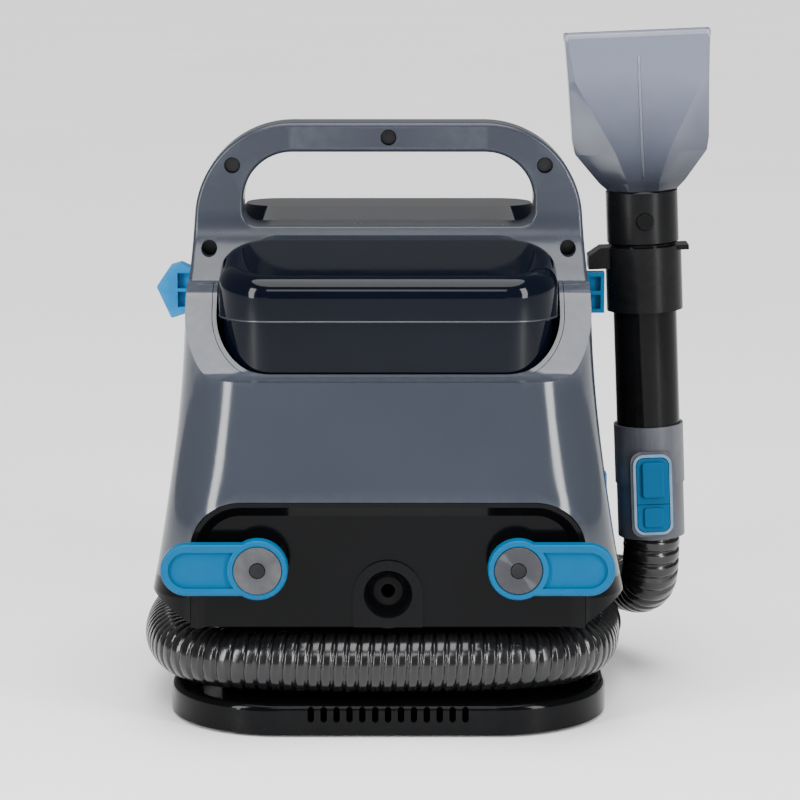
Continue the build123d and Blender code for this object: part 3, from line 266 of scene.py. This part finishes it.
def make_lid_highlight_bead():
    """The rolled lower edge of the front lid: a fine bead that catches the light, coloured paler than the
    lid as a painted highlight.
    """
    low, high = LID_BOX
    height = TANK_BOX[1][2] + BEAD_RISE
    half_x, half_y = (high[0] - low[0]) / 2, (high[1] - low[1]) / 2
    mid_x, mid_y = (high[0] + low[0]) / 2, (high[1] + low[1]) / 2
    outline = list(round_corners(half_x, half_y, LID_CORNER, LID_STEPS))
    rings = []
    for k in range(BEAD_SIDES):
        turn = 2 * pi * k / BEAD_SIDES
        radius = LID_CORNER - BEAD_SINK + BEAD_OUT * cos(turn)
        rings.append([(mid_x + x + radius * dx, mid_y + y + radius * dy, height + BEAD_UP * sin(turn))
                      for x, y, dx, dy in outline])
    rings.append(rings[0])
    vertices, faces = bridge_rings(rings, cap=False)
    piece = mesh_from("lid_highlight_bead", vertices, faces)
    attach(piece, "dirty_lid")
    return piece


lid_highlight_bead = make_lid_highlight_bead()
nozzle_lip = make_nozzle_lip()
nozzle_rib = make_nozzle_rib()


# ------------------------------------------------------------------ materials
EDGE_STARTS, EDGE_FULL = 0.52, 0.60  # pointiness where edge wear begins and is complete


def shader(name):
    material = bpy.data.materials.new(name)
    material.use_nodes = True
    tree = material.node_tree
    return material, tree, tree.nodes["Principled BSDF"]


def node(tree, kind, **settings):
    made = tree.nodes.new(kind)
    for key, value in settings.items():
        if key in made.inputs:
            made.inputs[key].default_value = value
        else:
            setattr(made, key, value)
    return made


def ramp(tree, source, low, high, first, last):
    """A colour ramp on a value between two stops."""
    made = tree.nodes.new("ShaderNodeValToRGB")
    made.color_ramp.elements[0].position = low
    made.color_ramp.elements[1].position = high
    made.color_ramp.elements[0].color = (*first, 1.0)
    made.color_ramp.elements[1].color = (*last, 1.0)
    tree.links.new(source, made.inputs["Fac"])
    return made.outputs["Color"]


def value_range(tree, source, low, high):
    made = node(tree, "ShaderNodeMapRange")
    made.inputs["To Min"].default_value = low
    made.inputs["To Max"].default_value = high
    tree.links.new(source, made.inputs["Value"])
    return made.outputs["Result"]


def object_space(tree):
    return node(tree, "ShaderNodeTexCoord").outputs["Object"]


def noise(tree, coordinates, scale, detail=3.0, rough=0.5):
    made = node(tree, "ShaderNodeTexNoise", Scale=scale, Detail=detail, Roughness=rough)
    tree.links.new(coordinates, made.inputs["Vector"])
    return made.outputs["Fac"]


def bump(tree, principled, height, strength, distance):
    made = node(tree, "ShaderNodeBump", Strength=strength, Distance=distance)
    tree.links.new(height, made.inputs["Height"])
    tree.links.new(made.outputs["Normal"], principled.inputs["Normal"])
    return made


def mix_factor(tree, a, b):
    made = node(tree, "ShaderNodeMath", operation="MULTIPLY")
    tree.links.new(a, made.inputs[0])
    tree.links.new(b, made.inputs[1])
    return made.outputs[0]


def shades(colour, spread):
    """A darker and a lighter version of a colour."""
    dark = tuple(c * (1.0 - spread) for c in colour)
    light = tuple(min(1.0, c * (1.0 + spread)) for c in colour)
    return dark, light


def moulded(name, colour, rough, rough_spread, shade, grain=900.0, grain_depth=0.00002,
            wear=0.0, worn=(0.5, 0.5, 0.5), gloss=0.5):
    """Moulded plastic: cloudy pigment, fine grain, faint handling marks and paler edges."""
    material, tree, principled = shader(name)
    space = object_space(tree)
    cloud = noise(tree, space, 9.0, 4.0)
    dark, light = shades(colour, shade)
    tint = ramp(tree, cloud, 0.3, 0.7, dark, light)
    if wear > 0:
        geometry = node(tree, "ShaderNodeNewGeometry")
        edge = node(tree, "ShaderNodeMapRange")
        edge.inputs["From Min"].default_value = EDGE_STARTS
        edge.inputs["From Max"].default_value = EDGE_FULL
        edge.inputs["To Max"].default_value = wear
        tree.links.new(geometry.outputs["Pointiness"], edge.inputs["Value"])
        broken = mix_factor(tree, edge.outputs["Result"], noise(tree, space, 160.0, 2.0))
        mixed = node(tree, "ShaderNodeMix", data_type="RGBA")
        mixed.inputs["B"].default_value = (*worn, 1.0)
        tree.links.new(broken, mixed.inputs["Factor"])
        tree.links.new(tint, mixed.inputs["A"])
        tint = mixed.outputs["Result"]
    tree.links.new(tint, principled.inputs["Base Color"])
    smudge = noise(tree, space, 38.0, 5.0, 0.6)
    tree.links.new(value_range(tree, smudge, rough - rough_spread, rough + rough_spread),
                   principled.inputs["Roughness"])
    fine = noise(tree, space, grain, 2.0)
    bump(tree, principled, fine, 0.35, grain_depth)
    principled.inputs["Specular IOR Level"].default_value = gloss
    principled.inputs["IOR"].default_value = 1.5
    return material


def smoked(name, colour, rough, clear, gloss, shade=0.2):
    """Tinted clear plastic: dark, glossy, slightly see-through, with water-mark clouding inside."""
    material, tree, principled = shader(name)
    space = object_space(tree)
    cloud = noise(tree, space, 14.0, 5.0, 0.6)
    dark, light = shades(colour, shade)
    tree.links.new(ramp(tree, cloud, 0.3, 0.72, dark, light), principled.inputs["Base Color"])
    smear = noise(tree, space, 45.0, 4.0, 0.55)
    tree.links.new(value_range(tree, smear, max(0.01, rough - 0.02), rough + 0.05),
                   principled.inputs["Roughness"])
    bump(tree, principled, noise(tree, space, 60.0, 2.0), 0.12, 0.00004)
    principled.inputs["Transmission Weight"].default_value = clear
    principled.inputs["Specular IOR Level"].default_value = gloss
    principled.inputs["IOR"].default_value = 1.49
    return material


def smoke_with_painted_shade(name, low_z, high_z, painted_shade_colour, pale):
    """Tinted plastic, darker towards its narrow end: painted shade standing in for the dark inside seen
    through it.
    """
    material = smoked(name, pale, 0.14, 0.2, 0.4)
    tree = material.node_tree
    principled = tree.nodes["Principled BSDF"]
    space = object_space(tree)
    # painted shade by height: dark low on the nozzle, fading to the pale colour higher up
    axes = node(tree, "ShaderNodeSeparateXYZ")
    tree.links.new(space, axes.inputs["Vector"])
    shade_by_height = node(tree, "ShaderNodeMapRange")
    shade_by_height.inputs["From Min"].default_value = low_z
    shade_by_height.inputs["From Max"].default_value = high_z
    tree.links.new(axes.outputs["Z"], shade_by_height.inputs["Value"])
    cloud = noise(tree, space, 30.0, 3.0)
    uneven_shade = node(tree, "ShaderNodeMath", operation="MULTIPLY_ADD")
    uneven_shade.inputs[1].default_value = 0.25
    tree.links.new(cloud, uneven_shade.inputs[0])
    tree.links.new(shade_by_height.outputs["Result"], uneven_shade.inputs[2])
    tint = ramp(tree, uneven_shade.outputs["Value"], 0.1, 1.1, painted_shade_colour, pale)
    tree.links.new(tint, principled.inputs["Base Color"])
    return material


def turned_metal(name, colour, rough):
    """Machined metal with fine tool marks and faint stains."""
    material, tree, principled = shader(name)
    space = object_space(tree)
    marks = noise(tree, space, 700.0, 2.0)
    stain = noise(tree, space, 60.0, 4.0)
    dark = tuple(c * 0.75 for c in colour)
    tree.links.new(ramp(tree, stain, 0.35, 0.7, dark, colour), principled.inputs["Base Color"])
    tree.links.new(value_range(tree, marks, rough - 0.1, rough + 0.12), principled.inputs["Roughness"])
    bump(tree, principled, marks, 0.3, 0.00002)
    principled.inputs["Metallic"].default_value = 1.0
    return material


looks = {
    "shell_grey": moulded("shell_grey", (0.0255, 0.030, 0.040), 0.13, 0.03, 0.06, wear=0.2,
                          worn=(0.16, 0.17, 0.2), gloss=0.38),
    "handle_grey": moulded("handle_grey", (0.022, 0.026, 0.036), 0.26, 0.05, 0.06, wear=0.25,
                           worn=(0.15, 0.16, 0.19), gloss=0.3),
    "black_gloss": moulded("black_gloss", (0.0016, 0.0017, 0.0021), 0.11, 0.04, 0.2, wear=0.1,
                           worn=(0.03, 0.03, 0.03), gloss=0.09),
    "black_satin": moulded("black_satin", (0.0022, 0.0023, 0.0027), 0.28, 0.07, 0.2, grain=1400.0,
                           grain_depth=0.00004, wear=0.12, worn=(0.04, 0.04, 0.04), gloss=0.1),
    "blue": moulded("blue", (0.0, 0.07, 0.165), 0.34, 0.06, 0.08, wear=0.2, worn=(0.0, 0.19, 0.42),
                    gloss=0.08),
    "light_blue": moulded("light_blue", (0.0, 0.15, 0.38), 0.34, 0.06, 0.08, wear=0.25,
                          worn=(0.1, 0.4, 0.75), gloss=0.12),
    "hub_grey": moulded("hub_grey", (0.026, 0.027, 0.032), 0.42, 0.07, 0.08, wear=0.3,
                        worn=(0.2, 0.2, 0.2), gloss=0.2),
    "smoke_tank": smoked("smoke_tank", (0.0012, 0.0022, 0.0055), 0.05, 0.02, 0.14),
    # the nozzle's smoke, with painted shade darkening its narrow lower end
    "smoke_nozzle": smoke_with_painted_shade("smoke_nozzle", 0.315, 0.39, (0.012, 0.014, 0.02),
                                  (0.15, 0.165, 0.215)),
    # paler than the smoke lid: a painted highlight along the lid's lower edge
    "lid_highlight_bead": moulded("lid_highlight_bead", (0.012, 0.015, 0.022), 0.2, 0.05, 0.1, wear=0.3,
                        worn=(0.15, 0.17, 0.2)),
    "nozzle_lip": moulded("nozzle_lip", (0.17, 0.18, 0.22), 0.2, 0.05, 0.06, wear=0.3,
                          worn=(0.5, 0.5, 0.55)),
    "cuff_grey": moulded("cuff_grey", (0.038, 0.041, 0.05), 0.36, 0.07, 0.1, grain=1300.0,
                         grain_depth=0.00005, wear=0.3, worn=(0.18, 0.18, 0.2), gloss=0.35),
    "frame_grey": moulded("frame_grey", (0.035, 0.13, 0.24), 0.38, 0.06, 0.08, wear=0.3,
                          worn=(0.5, 0.5, 0.5), gloss=0.3),
    "hose_black": moulded("hose_black", (0.0045, 0.0046, 0.0052), 0.2, 0.06, 0.25, wear=0.3,
                          worn=(0.09, 0.09, 0.095), gloss=0.4),
    "rubber": moulded("rubber", (0.003, 0.003, 0.003), 0.6, 0.1, 0.2, grain=1800.0, grain_depth=0.00006,
                      gloss=0.1),
    "black_steel": turned_metal("black_steel", (0.03, 0.03, 0.032), 0.35),
    "steel": turned_metal("steel", (0.42, 0.42, 0.43), 0.35),
    "motor_metal": turned_metal("motor_metal", (0.5, 0.5, 0.5), 0.4),
    "inner_plastic": moulded("inner_plastic", (0.1, 0.1, 0.105), 0.45, 0.08, 0.15),
    "board_green": moulded("board_green", (0.015, 0.12, 0.04), 0.35, 0.1, 0.25),
}
slot_of = {row["node"]: row["material_slot"] for row in frame["record"]["subparts"]}


def dress(piece, look):
    piece.data.materials.clear()
    piece.data.materials.append(looks[look])


for name, cad in nodes.items():
    for face_slot in cad.material_slots:
        face_slot.material = looks[slot_of[name]]
dress(hose, "hose_black")
dress(nozzle_lip, "nozzle_lip")
dress(lid_highlight_bead, "lid_highlight_bead")
dress(nozzle_rib, "smoke_nozzle")

EDGE_SOFTENING = {  # millimetres
    "front_panel": 0.7, "left_hook": 0.9, "right_hook": 0.9, "hook_caps": 0.5, "nozzle": 1.0,
    "base_foot": 0.8,
    "wand_collar": 0.6, "hose_cuff": 0.8, "cuff_frame": 0.4, "wand_bracket": 0.4, "spare_bracket": 0.6,
    "nozzle_neck": 0.5, "lower_tub": 0.8, "water_lid": 1.2, "body_shell": 1.2, "switch_bezel": 0.5,
}


def soften(piece, width):
    """Small rounded edges, as a moulding has."""
    bevel = piece.modifiers.new("edge_softening", "BEVEL")
    bevel.width = width * MM
    bevel.segments = 3
    bevel.limit_method = "ANGLE"
    bevel.angle_limit = radians(35.0)
    bevel.harden_normals = True


for name, width in EDGE_SOFTENING.items():
    soften(nodes[name], width)


# ------------------------------------------------------------------ floor and light
FLOOR_HALF = 30.0
WORLD_STRENGTH = 0.3
SUN_STRENGTH, SUN_ANGLE, SUN_TILT = 5.0, radians(50.0), radians(8.0)
LIGHT_AIM = (0.0, 0.0, 0.2)


def add_floor():
    """A pale studio floor, faintly mottled."""
    mesh = bpy.data.meshes.new("floor")
    corners = [(x * FLOOR_HALF, y * FLOOR_HALF, 0.0) for x, y in ((-1, -1), (1, -1), (1, 1), (-1, 1))]
    mesh.from_pydata(corners, [], [(0, 1, 2, 3)])
    floor = new_object("floor", mesh)
    material, tree, principled = shader("floor")
    space = object_space(tree)
    tint = ramp(tree, noise(tree, space, 2.0, 3.0), 0.3, 0.7, (0.9, 0.9, 0.9), (0.93, 0.93, 0.93))
    tree.links.new(tint, principled.inputs["Base Color"])
    principled.inputs["Roughness"].default_value = 0.5
    floor.data.materials.append(material)


def add_area(name, place, width, height, power):
    data = bpy.data.lights.new(name, "AREA")
    data.shape = "RECTANGLE"
    data.size = width
    data.size_y = height
    data.energy = power
    light = bpy.data.objects.new(name, data)
    bpy.context.scene.collection.objects.link(light)
    light.location = place
    light.rotation_euler = (Vector(LIGHT_AIM) - Vector(place)).to_track_quat("-Z", "Y").to_euler()


def add_light():
    """A soft overhead light, two tall side boxes for the body's highlights and a small front one."""
    world = bpy.data.worlds.new("studio")
    world.use_nodes = True
    background = world.node_tree.nodes["Background"]
    background.inputs["Color"].default_value = (1.0, 1.0, 1.0, 1.0)
    background.inputs["Strength"].default_value = WORLD_STRENGTH
    bpy.context.scene.world = world
    sun = bpy.data.lights.new("overhead", "SUN")
    sun.energy = SUN_STRENGTH
    sun.angle = SUN_ANGLE
    overhead = bpy.data.objects.new("overhead", sun)
    overhead.rotation_euler = (SUN_TILT, 0.0, 0.0)
    bpy.context.scene.collection.objects.link(overhead)
    add_area("left_box", (-1.15, -1.2, 0.75), 0.34, 1.3, 34.0)
    add_area("right_box", (1.15, -1.2, 0.75), 0.34, 1.3, 34.0)
    add_area("front_box", (-0.1, -1.7, 1.5), 0.7, 0.35, 7.0)


add_floor()
add_light()
